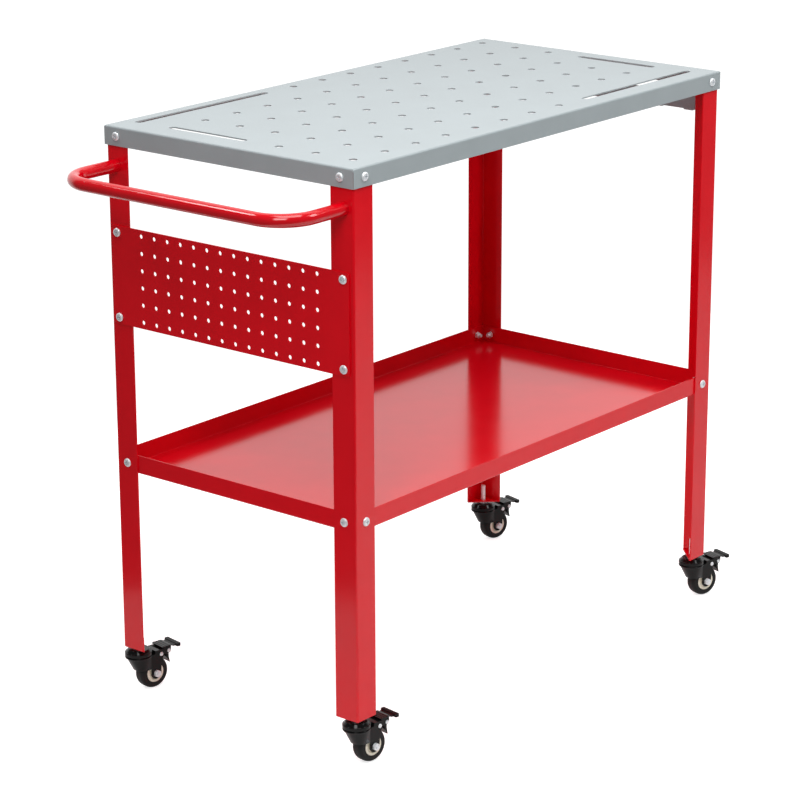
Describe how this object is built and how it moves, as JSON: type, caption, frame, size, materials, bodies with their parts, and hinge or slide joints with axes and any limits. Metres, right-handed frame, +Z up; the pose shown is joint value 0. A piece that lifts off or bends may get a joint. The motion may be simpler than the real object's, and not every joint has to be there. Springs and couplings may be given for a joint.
{
  "type": "mobile welding table",
  "caption": "Wheeled workshop welding table: perforated folded-sheet worktop on angle legs, lower tray, peg panel, push handle, hook rail and braked swivel casters.",
  "frame": {"origin": "on the floor, under the middle of the table's outline with the handle and the casters", "axes": "+X along the worktop away from the push handle, +Y to the back, +Z up"},
  "size_m": [1.0548, 0.4846, 0.8675],
  "materials": {
    "grey_paint": "satin light grey powder coat",
    "red_paint": "glossy red powder coat",
    "zinc": "bright zinc plate",
    "black_steel": "black coated pressed steel",
    "tyre_rubber": "smooth black polyurethane tread",
    "cream_plastic": "cream moulded hub"
  },
  "bodies": {
    "frame": {"worktop": "grey_paint", "hanger_rail": "grey_paint", "leg_front_left": "red_paint", "leg_front_right": "red_paint", "leg_back_right": "red_paint", "leg_back_left": "red_paint", "tray": "red_paint", "peg_panel": "red_paint", "handle": "red_paint", "top_screw_end_front_left": "zinc", "top_screw_end_front_right": "zinc", "top_screw_end_back_right": "zinc", "top_screw_end_back_left": "zinc", "top_screw_side_front_left": "zinc", "top_screw_side_front_right": "zinc", "top_screw_side_back_right": "zinc", "top_screw_side_back_left": "zinc", "tray_screw_end_front_left": "zinc", "tray_screw_end_front_right": "zinc", "tray_screw_end_back_right": "zinc", "tray_screw_end_back_left": "zinc", "tray_screw_side_front_left": "zinc", "tray_screw_side_front_right": "zinc", "tray_screw_side_back_right": "zinc", "tray_screw_side_back_left": "zinc", "panel_screw_front_low": "zinc", "panel_screw_front_high": "zinc", "panel_screw_back_low": "zinc", "panel_screw_back_high": "zinc", "rail_screw_front": "zinc", "rail_screw_back": "zinc", "handle_screw_front": "zinc", "handle_screw_back": "zinc", "caster_stem_front_left": "zinc", "caster_stem_front_right": "zinc", "caster_stem_back_right": "zinc", "caster_stem_back_left": "zinc"},
    "fork_front_left": {"caster_fork_front_left": "black_steel", "caster_axle_front_left": "zinc"},
    "wheel_front_left": {"caster_hub_front_left": "cream_plastic", "caster_tyre_front_left": "tyre_rubber"},
    "pedal_front_left": {"brake_pedal_front_left": "black_steel"},
    "fork_front_right": {"caster_fork_front_right": "black_steel", "caster_axle_front_right": "zinc"},
    "wheel_front_right": {"caster_hub_front_right": "cream_plastic", "caster_tyre_front_right": "tyre_rubber"},
    "pedal_front_right": {"brake_pedal_front_right": "black_steel"},
    "fork_back_right": {"caster_fork_back_right": "black_steel", "caster_axle_back_right": "zinc"},
    "wheel_back_right": {"caster_hub_back_right": "cream_plastic", "caster_tyre_back_right": "tyre_rubber"},
    "pedal_back_right": {"brake_pedal_back_right": "black_steel"},
    "fork_back_left": {"caster_fork_back_left": "black_steel", "caster_axle_back_left": "zinc"},
    "wheel_back_left": {"caster_hub_back_left": "cream_plastic", "caster_tyre_back_left": "tyre_rubber"},
    "pedal_back_left": {"brake_pedal_back_left": "black_steel"}
  },
  "joints": [
    {"name": "swivel_front_left", "type": "hinge", "parent": "frame", "child": "fork_front_left", "pos_m": [-0.38795, -0.2066, 0.0574], "axis": [0, 0, 1], "continuous": true},
    {"name": "roll_front_left", "type": "hinge", "parent": "fork_front_left", "child": "wheel_front_left", "pos_m": [-0.36517, -0.2098, 0.02475], "axis": [0.1392, 0.9903, 0], "continuous": true},
    {"name": "brake_front_left", "type": "hinge", "parent": "fork_front_left", "child": "pedal_front_left", "pos_m": [-0.35527, -0.21119, 0.053], "axis": [0.1392, 0.9903, 0], "range_deg": [0, 10]},
    {"name": "swivel_front_right", "type": "hinge", "parent": "frame", "child": "fork_front_right", "pos_m": [0.45745, -0.2066, 0.0574], "axis": [0, 0, 1], "continuous": true},
    {"name": "roll_front_right", "type": "hinge", "parent": "fork_front_right", "child": "wheel_front_right", "pos_m": [0.47945, -0.21332, 0.02475], "axis": [0.2924, 0.9563, 0], "continuous": true},
    {"name": "brake_front_right", "type": "hinge", "parent": "fork_front_right", "child": "pedal_front_right", "pos_m": [0.48901, -0.21625, 0.053], "axis": [0.2924, 0.9563, 0], "range_deg": [0, 10]},
    {"name": "swivel_back_right", "type": "hinge", "parent": "frame", "child": "fork_back_right", "pos_m": [0.45745, 0.2218, 0.0574], "axis": [0, 0, 1], "continuous": true},
    {"name": "roll_back_right", "type": "hinge", "parent": "fork_back_right", "child": "wheel_back_right", "pos_m": [0.47972, 0.21604, 0.02475], "axis": [0.2504, 0.9681, 0], "continuous": true},
    {"name": "brake_back_right", "type": "hinge", "parent": "fork_back_right", "child": "pedal_back_right", "pos_m": [0.4894, 0.21354, 0.053], "axis": [0.2504, 0.9681, 0], "range_deg": [0, 10]},
    {"name": "swivel_back_left", "type": "hinge", "parent": "frame", "child": "fork_back_left", "pos_m": [-0.38795, 0.2218, 0.0574], "axis": [0, 0, 1], "continuous": true},
    {"name": "roll_back_left", "type": "hinge", "parent": "fork_back_left", "child": "wheel_back_left", "pos_m": [-0.36526, 0.218, 0.02475], "axis": [0.165, 0.9863, 0], "continuous": true},
    {"name": "brake_back_left", "type": "hinge", "parent": "fork_back_left", "child": "pedal_back_left", "pos_m": [-0.3554, 0.21635, 0.053], "axis": [0.165, 0.9863, 0], "range_deg": [0, 10]}
  ]
}
